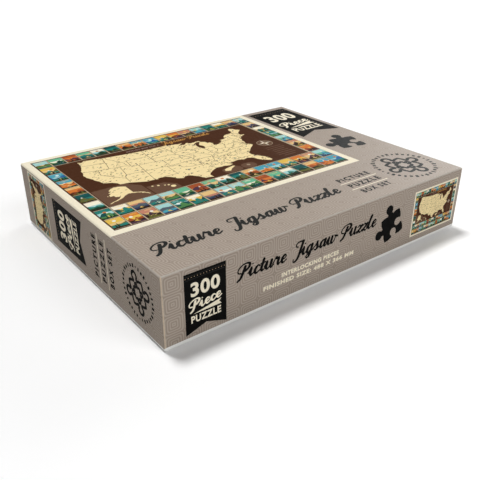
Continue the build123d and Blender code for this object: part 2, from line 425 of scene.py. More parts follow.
def brush(ink_name, points, heavy, light):
    """A brush stroke: heavy where it runs down, light where it runs up or across."""
    curve = [Vector(p) for p in smooth(points)]
    shapes = []
    radii = []
    for i in range(len(curve)):
        run = curve[min(i + 1, len(curve) - 1)] - curve[max(i - 1, 0)]
        steep = max(0.0, -run.y) / max(run.length, 1e-6)
        radii.append((light + (heavy - light) * steep) / 2)
    windows = [radii[max(0, i - 2) : i + 3] for i in range(len(radii))]
    radii = [sum(window) / len(window) for window in windows]
    for i, (spot, radius) in enumerate(zip(curve, radii)):
        shapes.append((ink_name, [disc(spot.x, spot.y, radius, 8)]))
        if i:
            before = curve[i - 1]
            side = Vector((before.y - spot.y, spot.x - before.x)).normalized()
            ends = (before + side * radii[i - 1], before - side * radii[i - 1], spot - side * radius,
                    spot + side * radius)
            shapes.append((ink_name, [[(e.x, e.y) for e in ends]]))
    return shapes


# Each letter's strokes, in hundredths of a small letter's height, and how far it moves the pen, in heights.
SCRIPT = {
    "P": ("62 145, 52 80, 34 10, 2 -18; 22 72, -12 85, -22 125, 12 168, 70 182, 115 162, 112 118, 78 88", 1.32),
    "J": ("55 130, 25 145, 30 185, 80 195, 120 185; 115 190, 105 100, 95 0, 70 -50, 35 -50, 30 -20", 1.3),
    "i": ("-10 40, 20 100, 20 30, 38 4, 62 25; 24 142, 27 146", 0.62),
    "c": ("72 80, 48 98, 20 72, 18 30, 42 3, 82 28", 0.78),
    "t": ("30 150, 24 80, 24 30, 42 4, 70 28; 0 100, 62 104", 0.68),
    "u": ("-10 45, 18 100, 16 35, 38 3, 64 25, 78 98; 78 98, 76 30, 93 4, 118 28", 1.16),
    "r": ("-10 35, 20 110, 34 90, 62 92, 58 35, 74 4, 98 28", 0.95),
    "e": ("20 45, 55 55, 66 82, 44 98, 20 70, 20 28, 44 3, 84 30", 0.8),
    "g": ("76 82, 50 98, 20 65, 24 12, 50 8, 76 50; 80 98, 76 20, 66 -45, 36 -62, 25 -35, 70 0, 112 30", 1.1),
    "s": ("-10 20, 22 60, 44 108, 46 75, 62 40, 50 5, 20 8; 45 4, 92 28", 0.88),
    "a": ("76 82, 50 98, 20 65, 24 12, 50 8, 78 60, 80 98; 80 98, 77 30, 94 4, 118 28", 1.16),
    "w": ("-10 45, 18 100, 16 30, 38 3, 62 30, 68 95; 68 95, 66 30, 86 3, 112 30, 116 85, 100 100; "
          "110 95, 150 80", 1.42),
    "z": ("2 80, 24 100, 48 88, 74 96, 44 50, 12 5, 40 14, 62 0, 90 28", 0.86),
    "l": ("-10 35, 30 120, 44 175, 30 180, 22 130, 20 35, 40 3, 72 28", 0.7),
    " ": ("", 0.85),
}


def script_text(ink_name, text, width, slant=0.28, heavy=0.42, light=0.19, wide=1.12):
    """A line of brush script from the origin, as wide as asked."""
    shapes = []
    pen = 0.0
    for letter in text:
        strokes, advance = SCRIPT[letter]
        for stroke in filter(None, strokes.split(";")):
            spots = [((pen + x) * wide + slant * y, y) for x, y in written(stroke, 100)]
            shapes += brush(ink_name, spots, heavy, light)
        pen += advance
    return moved_shapes(shapes, scale=width / (pen * wide))


def plain_text(ink_name, text, height, width, weight, spacing):
    """A line of plain capitals or numerals, centred on the origin."""
    font = bpy.data.curves.new("lettering", "FONT")
    font.body = text
    font.offset = weight
    font.space_character = spacing
    font.resolution_u = 5
    carrier = new_object("lettering", font)
    bpy.context.view_layer.update()
    mesh = bpy.data.meshes.new_from_object(carrier.evaluated_get(bpy.context.evaluated_depsgraph_get()))
    spots = [v.co for v in mesh.vertices]
    low, high = [Vector((end(s.x for s in spots), end(s.y for s in spots))) for end in (min, max)]
    tall = height / (high.y - low.y)
    wide = width / (high.x - low.x)
    middle = (low + high) / 2
    shapes = []
    for polygon in mesh.polygons:
        loop = [spots[i] for i in polygon.vertices]
        shapes.append((ink_name, [[((p.x - middle.x) * wide, (p.y - middle.y) * tall) for p in loop]]))
    bpy.data.objects.remove(carrier)
    bpy.data.meshes.remove(mesh)
    return shapes


# ---- The picture ----
# It is drawn once, in millimetres from its lower left corner, at its size on the lid's top.

PICTURE_WIDTH = 204.7
PICTURE_HEIGHT = 147.5
BORDER = 5.5  # the cream border round the tiles
TILE_PITCH = 11.4
TILE_WIDTH = 10.1
TILE_HEIGHT = 13.9
TILES_ACROSS = 17
SIDE_TILES = 6
TILE_LEFT = BORDER + 1.1  # the first tile's left side
TILE_LOW = BORDER + 1.6  # the lowest row's lower edge
ROW_STEP = 15.2  # from the lowest row to the one above it
TOP_ROW = PICTURE_HEIGHT - BORDER - 1.2 - TILE_HEIGHT

# The country's outline, in degrees west and north, clockwise from its north-west corner
OUTLINE = written("""
    124.7 48.4, 123.2 48.2, 122.8 49, 116 49, 110 49, 104 49, 95.2 49, 95.1 49.4, 94.6 48.7, 93 48.6, 91.4 48.1,
    89.6 48, 92.1 46.8, 90.8 46.9, 89.8 46.8, 88.4 47.4, 87.9 47.4, 88.4 46.9, 87.4 46.5, 86.5 46.5, 85 46.75,
    84.4 46.5, 83.9 46, 84.8 46, 85.6 46.1, 86.6 45.8, 87 45.7, 87.7 45.1, 88 44.6, 87.1 45.2, 87.6 44.2, 87.9
    43, 87.7 42, 87.2 41.65, 86.6 41.9, 86.2 42.8, 86.5 43.8, 86.2 44.7, 85.5 45.1, 84.9 45.7, 84.1 45.5, 83.4
    45.1, 83.3 44.3, 83.9 43.7, 83.3 43.9, 82.8 44, 82.4 43, 82.8 42.4, 83.3 41.9, 82.6 41.4, 81.5 41.6, 80.2
    42.1, 79 42.7, 79 43.3, 77.5 43.25, 76.3 43.5, 76.3 44.1, 74.8 45, 71.5 45, 70.9 45.3, 70.3 45.9, 70 46.7,
    69.2 47.45, 68.3 47.35, 67.8 47, 67.8 45.7, 67 44.8, 68.5 44.3, 69.8 43.8, 70.7 43, 70.8 42.3, 70.5 41.85,
    70 42.05, 69.95 41.65, 71.2 41.5, 72.9 41.25, 73.7 40.95, 72 41, 73.9 40.5, 74.1 39.7, 74.9 39, 75.5 39.5,
    75.1 38.4, 75.9 37.2, 76.2 38.8, 76.4 37.1, 75.8 36.2, 75.5 35.25, 76.6 34.65, 77.9 33.95, 79.1 33.3, 80.8
    32.1, 81.4 31, 81.3 29.8, 80.55 28.4, 80.05 26.8, 80.3 25.4, 81.1 25.15, 81.8 26.1, 82.7 27.7, 82.8 28.9,
    83.9 30, 85.3 29.7, 86.3 30.4, 88 30.3, 89.5 30.2, 89.2 29.2, 90.4 29.1, 91.6 29.6, 93.4 29.75, 94.8 29.3,
    96 28.5, 97.2 27.5, 97.2 25.95, 99.1 26.4, 99.6 27.6, 100.6 28.9, 101.5 29.8, 102.5 29.7, 103.1 28.98, 104.4
    29.6, 105 30.65, 106.5 31.75, 108.2 31.78, 108.2 31.33, 111.07 31.33, 114.8 32.5, 117.1 32.53, 117.4 33.3,
    118.5 34, 120.5 34.5, 120.9 35.4, 121.9 36.6, 122.5 37.6, 123.7 38.9, 124.3 40.4, 124.1 41.8, 124.5 42.85,
    124.1 44.5, 123.95 46.2, 124.1 46.9
""")

# Borders inside the country, in the same degrees
STATE_BORDERS = [written(border) for border in """
    124 46.2, 122.8 45.7, 121 45.7, 119 45.95, 117 46; 117 49, 117 46.4, 116.9 45, 117 42; 124.2 42, 120 42, 114
    42, 111.05 42; 120 42, 120 39, 114.65 35, 114.5 32.7; 114.05 42, 114.05 37, 114.7 36, 114.65 35; 116.05 49,
    116.05 48, 114.3 46.6, 113 44.5, 111.05 44.5; 111.05 45, 111.05 41, 109.05 41, 109.05 37, 109.05 31.35;
    111.05 45, 104.05 45; 104.05 49, 104.05 45, 104.05 41; 109.05 41, 102.05 41, 102.05 40; 114.05 37, 109.05
    37, 102.05 37, 94.6 37; 102.05 41, 102.05 37; 103 37, 103 32, 106.6 32; 103 36.5, 100 36.5, 100 34.6, 97.5
    33.8, 94.5 33.65; 104.05 43, 98.5 43, 96.5 42.5; 102.05 40, 95.3 40; 104.05 45.95, 96.6 45.95; 97.2 49, 96.6
    46.5, 96.5 43.5, 96.5 42.5, 95.8 41, 95.3 40, 94.6 39.1, 94.6 36.5, 94.5 35.4, 94.5 33.65, 94 33, 94 31,
    93.7 29.8; 96.5 43.5, 91.2 43.5; 95.8 40.6, 91.6 40.6; 92.3 46.7, 92.8 45.6, 92.8 44.8, 91.2 43.5, 90.2
    41.8, 91.4 40.4, 90.2 38.8, 89.2 37, 89.7 36, 91 33.7, 91.2 31, 89.8 31, 89.7 30.3; 90.6 42.5, 87.8 42.5;
    94.6 36.5, 90.2 36.5; 94 33, 91.2 33; 90.3 46.6, 88.2 45.9, 87.7 45.2; 87.55 41.7, 87.55 39.3, 88 37.8, 86
    38, 84.8 39.1, 82.6 38.4, 80.6 40.5, 80.5 42; 84.8 41.7, 84.8 39.1; 87.2 41.75, 84.8 41.75, 83.4 41.75; 89.6
    36.5, 83.7 36.6, 75.9 36.55; 82.6 38.4, 82 37.5, 83.7 36.6; 82 37.5, 80.3 37.5, 78.3 39.4, 77.5 39.1, 76.4
    37.9; 80.5 39.72, 75.8 39.72; 90.3 35, 85.6 35, 83.1 35, 81 35.1, 78.6 33.9; 88.2 35, 88.4 30.4; 85.6 35, 85
    32.3, 85 30.9, 82.1 30.5; 87.6 31, 85 31; 83.1 35, 81.4 32.6, 80.9 32.1; 79.8 42.2, 79.8 42, 75.3 42, 74.7
    41.4, 75.1 40, 75.5 39.5; 73.4 45, 73.3 42.7, 73.5 41.2; 73.4 42.05, 71.2 42.05; 73.3 42.75, 70.9 42.8; 71.5
    45, 72.4 43.5, 72.5 42.75; 71 45.2, 70.8 43.1
""".split(";")]


def on_map(place):
    """Where a place in degrees comes on the picture, by a conic projection."""
    west, north = place
    turn = math.radians((97.7 - west) * 0.563)
    out = (119.05 - north) * math.sin(turn)
    down = (119.05 - north) * math.cos(turn)
    return 103.9 + 3.563 * out - 0.061 * down, 349.1 - 3.326 * down


# A tile's inks: high sky, low sky, ranges, hills, front
TILE_SCHEMES = [scheme.split() for scheme in """
    yellow sand olive teal dark_bark; pale_blue paper slate teal deep_teal; sand orange rust dark_bark olive;
    teal pale_blue deep_teal green forest; mint sand teal deep_teal forest; orange yellow rust dark_bark plum;
    pale_blue sand olive green deep_teal; sky sand rust orange forest; paper yellow deep_teal teal forest;
    paper pale_blue teal forest dark_bark; rose sand plum dark_bark olive; mint paper green forest deep_teal;
    sky pale_blue blue teal forest; sand rose slate navy dark_bark; deep_teal teal forest olive dark_bark;
    pale_blue mint slate sky navy; rust orange plum rust dark_bark
""".split(";")]


def tile(rng, number, x, y):
    """A small made-up landscape: sky, sun, ranges, hills and whatever stands in front."""
    scheme = TILE_SCHEMES[(number * 5 + number // TILES_ACROSS * 3) % len(TILE_SCHEMES)]
    high_sky, low_sky, range_ink, hill_ink, front_ink = scheme
    shapes = []

    def draw(ink_name, *spots):
        """Adds a shape whose points are given in shares of the tile's width and height."""
        shapes.append((ink_name, [[(x + u * TILE_WIDTH, y + v * TILE_HEIGHT) for u, v in spots]]))

    def ridge(ink_name, level, rough, count):
        tops = [(i / count, level + rng.uniform(-rough, rough)) for i in range(count + 1)]
        draw(ink_name, (0, 0), *tops, (1, 0))

    draw(high_sky, *rectangle(0, 0, 1, 1))
    draw(low_sky, *rectangle(0, 0, 1, rng.uniform(0.5, 0.75)))
    if rng.random() < 0.5:
        sun = rng.choice(("yellow", "white", "orange"))
        centre = (x + rng.uniform(0.3, 0.7) * TILE_WIDTH, y + rng.uniform(0.62, 0.82) * TILE_HEIGHT)
        shapes.append((sun, [disc(*centre, 1.2, 14)]))
    ridge(range_ink, 0.5, 0.17, rng.choice((3, 4, 5)))
    if rng.random() < 0.4:
        u = rng.uniform(0.3, 0.7)
        v = rng.uniform(0.68, 0.8)
        draw(hill_ink, (u - 0.28, 0.3), (u, v), (u + 0.28, 0.3))
        draw("white", (u - 0.084, v - 0.13), (u, v), (u + 0.084, v - 0.13))
    ridge(hill_ink, 0.32, 0.06, 4)
    for _ in range(4):
        v = rng.uniform(0.08, 0.42)
        u = rng.uniform(0.0, 0.6)
        ink_name = rng.choice((range_ink, low_sky, front_ink, "olive"))
        draw(ink_name, (u, v), (u + 0.38, v + 0.04), (u + 0.2, v - 0.02))
    if rng.random() < 0.5:
        bends = ((0.55, 0.30), (0.42, 0.22), (0.62, 0.13), (0.45, 0.0))
        near = [(u + 0.05 + 0.3 * (0.3 - v), v) for u, v in bends]
        far = [(u - 0.05 - 0.3 * (0.3 - v), v) for u, v in reversed(bends)]
        draw(rng.choice((high_sky, low_sky, "yellow")), *near, *far)
    ridge(front_ink, 0.12, 0.05, 3)
    if rng.random() < 0.5:
        for i in range(3):
            draw(low_sky, *rectangle(rng.uniform(0, 0.5), 0.93 - 0.05 * i, 0.45, 0.02))
    half_tree = 0.9 / TILE_WIDTH
    for _ in range(rng.choice((0, 0, 2, 3))):
        u = rng.uniform(0.12, 0.88)
        draw(front_ink, (u - half_tree, 0.05), (u, 0.05 + rng.uniform(0.3, 0.6)), (u + half_tree, 0.05))
    return shapes


def tile_places():
    """The lower left corners of the tiles that ring the map."""
    rows = (TILE_LOW, TILE_LOW + ROW_STEP, TOP_ROW)
    places = [(TILE_LEFT + TILE_PITCH * i, row) for row in rows for i in range(TILES_ACROSS)]
    gap = (rows[2] - rows[1] - TILE_HEIGHT - SIDE_TILES * TILE_HEIGHT) / (SIDE_TILES + 1)
    for column in (0, TILES_ACROSS - 1):
        for i in range(SIDE_TILES):
            places.append((TILE_LEFT + TILE_PITCH * column, rows[1] + TILE_HEIGHT + gap + (TILE_HEIGHT + gap) * i))
    return places


def compass(x, y, radius):
    """A small compass rose in a ring."""
    shapes = [("tan", [disc(x, y, radius, 32), disc(x, y, radius * 0.9, 32)])]
    shapes.append(("light_brown", [disc(x, y, radius * 0.82, 28)]))
    for start, reach, ink_name in ((0, 0.95, "paper"), (45, 0.6, "tan")):
        spike = [(0, radius * 0.16), (radius * reach, 0), (0, -radius * 0.16)]
        shapes += [(ink_name, [moved(spike, x=x, y=y, turn=start + 90 * i)]) for i in range(4)]
    return shapes


def ragged(rng, loop, reach):
    """The loop with its short sides bent twice, as a coast is; long straight borders stay straight."""
    bent = []
    for a, b in zip(loop, loop[1:] + loop[:1]):
        bent.append(a)
        if 1.5 < math.dist(a, b) < 9.0:
            for part in (1 / 3, 2 / 3):
                bent.append(tuple(a[k] + (b[k] - a[k]) * part + rng.uniform(-reach, reach) for k in (0, 1)))
    return bent


def small_map_marks(rng, outline):
    """Dots and short dashes strewn over the land, where a map has its towns and names."""
    marks = []
    xs, ys = zip(*outline)
    for _ in range(900):
        x = rng.uniform(min(xs), max(xs))
        y = rng.uniform(min(ys), max(ys))
        crossings = sum(
            (ay > y) != (by > y) and x < ax + (y - ay) * (bx - ax) / (by - ay)
            for (ax, ay), (bx, by) in zip(outline, outline[1:] + outline[:1])
        )
        if crossings % 2 == 0:
            continue
        if rng.random() < 0.3:
            ink_name = rng.choice(("olive", "slate", "line_brown"))
            marks.append((ink_name, [disc(x, y, rng.uniform(0.4, 0.8), 7)]))
        else:
            end = (x + rng.uniform(0.8, 2.6), y + rng.uniform(0.0, 0.5))
            marks.append(line(rng.choice(("tan", "line_brown", "line_brown")), (x, y), end, 0.5))
    return marks


def inset_frame(margin):
    return rectangle(margin, margin, PICTURE_WIDTH - 2 * margin, PICTURE_HEIGHT - 2 * margin)


def picture_shapes():
    """Everything inside the cream border, from the ground up."""
    rng = random.Random(17)
    shapes = [("brown", [inset_frame(BORDER)]), ("ring", [inset_frame(BORDER + 1.0)])]
    field_low = TILE_LOW + ROW_STEP + TILE_HEIGHT + 0.8
    field_left = TILE_LEFT + TILE_WIDTH + 0.8
    field = rectangle(field_left, field_low, PICTURE_WIDTH - 2 * field_left, TOP_ROW - 0.9 - field_low)
    shapes.append(("brown", [field]))
    inset = field_low - 0.2
    for left, right, cut, side, top in ((18.3, 51.3, 43.0, 20, 29.0), (52.3, 72.5, 66.0, 8, 15.0)):
        panel = [(left, inset), (right, inset), (right, inset + side), (cut, inset + top), (left, inset + top)]
        shapes.append(("light_brown", [panel]))
    for left in (110.5, 127.3):
        shapes.append(("light_brown", [rounded_rectangle(left, inset + 1.2, 12 + 0.24 * (127.3 - left), 9.5, 4)]))
    coast = random.Random(8)
    outline = ragged(coast, [on_map(p) for p in OUTLINE], 0.35)
    shapes.append(("map_cream", [outline]))
    shapes += small_map_marks(rng, outline)
    for border in STATE_BORDERS:
        shapes += lines("line_brown", [on_map(p) for p in border], 0.34)
    # The insets: a large northern land, a chain of islands and two small ones
    north = written("""
        41.2 49, 41.5 61, 38 63, 34 64.2, 31 62.7, 28.6 60.3, 29.8 58.5, 26.8 56.9, 28.8 55.7, 26 53.9,
        25.6 51.1, 28.2 51.3, 28 48.9, 30.5 47.9, 32 49.5, 30 46, 26 43.5, 22 41.9, 26.5 42.6, 31.5 45,
        35 47.7, 37.5 48.9, 39.5 48.7, 42 47.6, 43.8 47, 43 48.7
    """)
    shapes.append(("map_cream", [ragged(coast, north[::-1], 0.3)]))
    islets = """
        43.6 47.6, 45 46.3; 44.9 47.2, 46.3 45.6; 45.6 45.4, 46.7 44.2; 46.6 45.9, 47.7 44.5;
        47.3 43.9, 48.3 42.6; 48.5 43.3, 49.2 42.2; 48.8 41.8, 49.5 40.9; 23.4 42.1, 20.6 40.9;
        24 52.6, 24.7 52.4"""
    shapes += [line("map_cream", *written(islet), 0.8) for islet in islets.split(";")]
    chain = ((56.4, 50.4, 0.8), (60.2, 49.0, 1.0), (64.2, 47.0, 0.7), (66.6, 46.0, 0.9), (68.3, 42.5, 1.9))
    shapes += [("map_cream", [disc(*island, 8)]) for island in chain]
    shapes.append(("map_cream", [written("112.5 43, 116 41.5, 119 44.5, 124 47.5, 123 48.7, 116 47, 113 45.5")]))
    shapes.append(("tan", [disc(133.4, 43.6, 1.5, 9)]))
    for x, y in ((29.5, 57.0), (35.0, 60.0), (33.5, 53.0), (38.5, 55.5), (31.5, 59.0)):
        shapes.append(line("line_brown", (x, y), (x + 1.6, y), 0.5))
    # A plain heading above the map
    heading = plain_text("mauve", "PICTURE MAP FOR A", 2.6, 29, weight=0.02, spacing=1.1)
    shapes += moved_shapes(heading, x=88.6, y=PICTURE_HEIGHT - 26.3)
    shapes += moved_shapes(script_text("gold", "Jigsaw Puzzle", 46.0, heavy=0.36, light=0.18, wide=1.1),
                           x=104.8, y=PICTURE_HEIGHT - 28.0)
    shapes += compass(173.3, 74.0, 6.6)
    for i, width in enumerate((15, 17, 12, 14, 16, 17, 11)):
        spot = 63.6 - 3.5 * i
        shapes.append(line("light_brown", (173.3 - width / 2, spot), (173.3 + width / 2, spot), 1.2))
    for number, (x, y) in enumerate(tile_places()):
        shapes.append(("brown", [rectangle(x - 0.25, y - 0.25, TILE_WIDTH + 0.5, TILE_HEIGHT + 0.5)]))
        shapes += tile(rng, number, x, y)
    return shapes


# ---- The other printed motifs ----


def ribbon_shapes(width, height):
    """A swallowtail ribbon from its top left corner, with a stitched hem, numerals and words."""
    notch = 0.115 * height
    tail = [(0, 0), (0, -height), (width / 2, -height + notch), (width, -height), (width, 0)]
    shapes = [("black", [tail])]
    hem = -0.07 * height
    stitches = 14
    for edge in (0.62, 1.45):
        shapes.append(line("charcoal", (0.03 * width, edge * hem), (0.97 * width, edge * hem), 0.008 * height))
    for i in range(stitches):
        spot = width * (i + 0.5) / stitches
        shapes.append(line("tan", (spot - 0.011 * width, hem), (spot + 0.011 * width, hem), 0.011 * height))
    numerals = plain_text("paper", "300", 0.23 * height, 0.7 * width, weight=0.035, spacing=1.1)
    shapes += moved_shapes(numerals, x=0.5 * width, y=-0.277 * height)
    word = script_text("paper", "Piece", 0.75 * width, slant=0.2, heavy=0.44, light=0.22, wide=1.3)
    shapes += moved_shapes(word, x=0.13 * width, y=-0.62 * height, turn=8)
    swoosh = [(0.19, -0.672), (0.88, -0.578), (0.82, -0.622), (0.88, -0.668)]
    shapes.append(("paper", [[(x * width, y * height) for x, y in swoosh]]))
    capitals = plain_text("paper", "PUZZLE", 0.12 * height, 0.73 * width, weight=0.035, spacing=1.12)
    return shapes + moved_shapes(capitals, x=0.5 * width, y=-0.762 * height)


def jigsaw_outline(size, knobs=(-1, 1, 1, -1), steps=12):
    """A jigsaw piece about the origin: knobs out (1) or in (-1) on its right, top, left and bottom."""
    half = size / 2
    outline = []
    for side, knob in enumerate(knobs):
        head = size * (0.19 if knob > 0 else 0.165)
        neck = 0.6 * head
        corner = [(half, -half), (half + 0.03 * size, -0.3 * size), (half, -neck - 0.03 * size)]
        opening = math.asin(neck / head)
        for i in range(steps + 1):
            turn = math.pi - opening - (2 * math.pi - 2 * opening) * i / steps
            corner.append((half + knob * head * (1.2 + math.cos(turn)), -head * math.sin(turn)))
        corner += [(half, neck + 0.03 * size), (half + 0.03 * size, 0.3 * size)]
        outline += moved(corner, turn=90 * side)
    return outline


def seal_shapes(radius, ink_name):
    """A round ornament: a ring of dashes and dots about two nested jigsaw pieces."""
    shapes = []
    dashes = 34
    for i in range(dashes):
        turn = math.radians(360 * i / dashes)
        way = (math.cos(turn), math.sin(turn))
        if i % 17 == 0:
            shapes.append((ink_name, [disc(way[0] * radius * 0.92, way[1] * radius * 0.92, radius * 0.035, 8)]))
        else:
            ends = [[w * radius * share for w in way] for share in (0.85, 0.98 if i % 2 else 0.95)]
            shapes.append(line(ink_name, *ends, radius * (0.09 if i % 3 else 0.065)))
    for size in (0.78, 0.36):
        loop = moved(jigsaw_outline(radius * size, (1, 1, 1, 1), steps=8), turn=15)
        shapes += lines(ink_name, loop + loop[:1], radius * 0.1)
        shapes += [(ink_name, [disc(*p, radius * 0.05, 8)]) for p in loop]
    return shapes


def word_lines(ink_name):
    """Three centred words with a pale rule between each two."""
    shapes = []
    for i, (word, width) in enumerate((("PICTURE", 30), ("PUZZLE", 29), ("BOX SET", 27))):
        shapes += moved_shapes(plain_text(ink_name, word, 5.6, width, weight=0.05, spacing=1.45), y=-10.8 * i)
        if i < 2:
            shapes.append(line("cream", (-17.5, -10.8 * (i + 0.5)), (17.5, -10.8 * (i + 0.5)), 0.7))
    return shapes


# ---- The lid's faces ----


def lid_top(x, y, height):
    """The top panel: x from its left edge, y from its front edge; it carries on round the folds."""
    flat_x = min(max(x, FOLD), LENGTH - FOLD)
    flat_y = min(max(y, FOLD), WIDTH - FOLD)
    past = Vector((x - flat_x, y - flat_y))
    turn = min(past.length / FOLD, math.pi / 2)
    way = past.normalized() if past.length else past
    reach = FOLD * math.sin(turn) + height * math.sin(turn)
    down = FOLD * (1 - math.cos(turn))
    return (
        lid_low.x + (flat_x + way.x * reach) * MM,
        lid_low.y + (flat_y + way.y * reach) * MM,
        lid_high.z + (height * math.cos(turn) - down) * MM,
    )


def wall(corner, right, up):
    """A function from (x, y, height) on a wall to its place, from the wall's corner and two directions."""
    right = Vector(right)
    up = Vector(up)
    outward = right.cross(up)
    origin = Vector((corner.x, corner.y, lid_low.z))
    return lambda x, y, height: tuple(origin + (right * x + up * y + outward * height) * MM)


def print_motifs(prefix, surface, motifs):
    """Prints each named motif of a face as its own sheet of ink."""
    for name, shapes, change in motifs:
        painted = shapes if name == "picture" else paint(moved_shapes(shapes, **change))
        ink_sheet(f"{prefix}_{name}", painted, surface, change if name == "picture" else None)


def print_lid():
    picture = picture_shapes()
    picture_y = WIDTH - PICTURE_HEIGHT
    # Cream border, bleeding round the left and the back fold
    bleed = 0.35
    corner = FOLD + bleed
    sheet = [(-bleed, picture_y), (PICTURE_WIDTH, picture_y), (PICTURE_WIDTH, WIDTH + bleed)]
    for i in range(7):
        turn = math.radians(90 + 15 * i)
        sheet.append((FOLD + corner * math.cos(turn), WIDTH - FOLD + corner * math.sin(turn)))
    cuts = []
    for step in range(5):
        inset = FOLD - corner * step / 4
        cuts.append(((inset, picture_y + 0.01), (inset, WIDTH - FOLD)))
        cuts.append(((FOLD, WIDTH - inset), (PICTURE_WIDTH - 0.01, WIDTH - inset)))
    top_shapes = [("cream", [sheet])] + moved_shapes(picture, y=picture_y)
    ink_sheet("lid_top_picture", paint(top_shapes, cuts), lid_top)

    script = script_text("charcoal", "Picture Jigsaw Puzzle", 141.0)
    print_motifs("lid_top", lid_top, [
        ("ribbon", ribbon_shapes(40.8, 75.0), {"x": 208.7, "y": WIDTH - 6.3}),
        ("jigsaw_piece", [("grey", [jigsaw_outline(21.9)])], {"x": 228.3, "y": WIDTH - 112.0, "turn": -10.5}),
        ("script", script, {"x": 10.6, "y": WIDTH - 181.5}),
        ("words", word_lines("charcoal"), {"x": 177.0, "y": WIDTH - 167.2}),
        ("seal", seal_shapes(24.7, "charcoal"), {"x": 224.2, "y": WIDTH - 173.3}),
    ])

    small_picture = paint([("cream", [rectangle(0, 0, PICTURE_WIDTH, PICTURE_HEIGHT)])] + picture)
    script = script_text("black", "Picture Jigsaw Puzzle", 114.0)
    facts = plain_text("cream", "INTERLOCKING PIECES", 3.2, 48, weight=0.05, spacing=1.15)
    finished = plain_text("cream", "FINISHED SIZE: 488 X 366 MM", 3.2, 76, weight=0.05, spacing=1.15)
    facts += moved_shapes(finished, y=-4.7)
    for side, corner, way in (("front", lid_low, 1), ("back", lid_high, -1)):
        print_motifs("lid_" + side, wall(corner, (way, 0, 0), (0, 0, 1)), [
            ("ribbon", ribbon_shapes(27.4, 39.2), {"x": 13.6, "y": WALL - 4.0}),
            ("script", script, {"x": 49.0, "y": WALL - 20.0}),
            ("facts", facts, {"x": 106.0, "y": WALL - 28.6}),
            ("jigsaw_piece", [("black", [jigsaw_outline(18.3)])], {"x": 180.6, "y": WALL - 24.8, "turn": 18.6}),
            ("picture", small_picture, {"x": 202.0, "y": WALL - 40.9, "scale": 48.2 / PICTURE_WIDTH}),
        ])
    for side, corner, way in (("left", lid_low, 1), ("right", lid_high, -1)):
        print_motifs("lid_" + side, wall(corner, (0, 0, 1), (0, way, 0)), [
            ("picture", small_picture, {"x": 1.2, "y": WIDTH - 45.5, "scale": 44.4 / PICTURE_WIDTH}),
            ("ribbon", ribbon_shapes(32.2, 47.0), {"x": 7.6, "y": WIDTH - 57.8}),
            ("words", word_lines("black"), {"x": WALL / 2, "y": WIDTH - 121.5}),
            ("seal", seal_shapes(18.5, "black"), {"x": WALL / 2, "y": WIDTH - 175.8}),
        ])


# ---- Contents ----


def piece_material(name, seed):
    """Jigsaw pieces: printed on one side, plain board on the other and on the cut edge."""
    nodes = Nodes(name)
    own = nodes.add("ShaderNodeAttribute", attribute_name="own").outputs["Fac"]
    upward = nodes.parts("Normal")[2]
    shift = nodes.add("ShaderNodeCombineXYZ", {"X": own, "Y": nodes.math("MULTIPLY", own, 7.3), "Z": seed})
    spot = nodes.add("ShaderNodeVectorMath", {0: nodes.place(), 1: shift.outputs[0]}, operation="ADD").outputs[0]
    bands = nodes.range(nodes.noise(46, 1.5, 0.4, spot), 0.3, 0.7, 0.0, 1.0)
    ramp = nodes.add("ShaderNodeValToRGB", {"Fac": bands})
    ramp.color_ramp.interpolation = "CONSTANT"
    stops = (("brown", 0), ("map_cream", 0.14), ("line_brown", 0.36), ("map_cream", 0.375), ("teal", 0.5),
             ("pale_blue", 0.56), ("yellow", 0.64), ("rust", 0.7), ("forest", 0.76), ("map_cream", 0.84))
    for i, (stop, position) in enumerate(stops):
        element = ramp.color_ramp.elements[0] if i == 0 else ramp.color_ramp.elements.new(position)
        element.position = position
        element.color = rgb(*PALETTE[stop])
    board = mottled(nodes, rgb(168, 160, 146), 0.08, 700)
    face_up = nodes.math("GREATER_THAN", upward, 0.5)
    face_down = nodes.math("LESS_THAN", upward, -0.5)
    printed_up = nodes.math("GREATER_THAN", nodes.math("FRACT", nodes.math("MULTIPLY", own, 9.7)), 0.4)
    plain_up = nodes.math("SUBTRACT", 1.0, printed_up)
    printed = nodes.math("ADD", nodes.math("MULTIPLY", face_up, printed_up),
                         nodes.math("MULTIPLY", face_down, plain_up))
    return nodes.finish(
        Base_Color=nodes.mix(printed, board, ramp.outputs[0]),
        Roughness=nodes.range(printed, 0.0, 1.0, 0.85, 0.45),
        Normal=nodes.bump(nodes.noise(1500, 4.0), 0.00005, 0.6),
    )


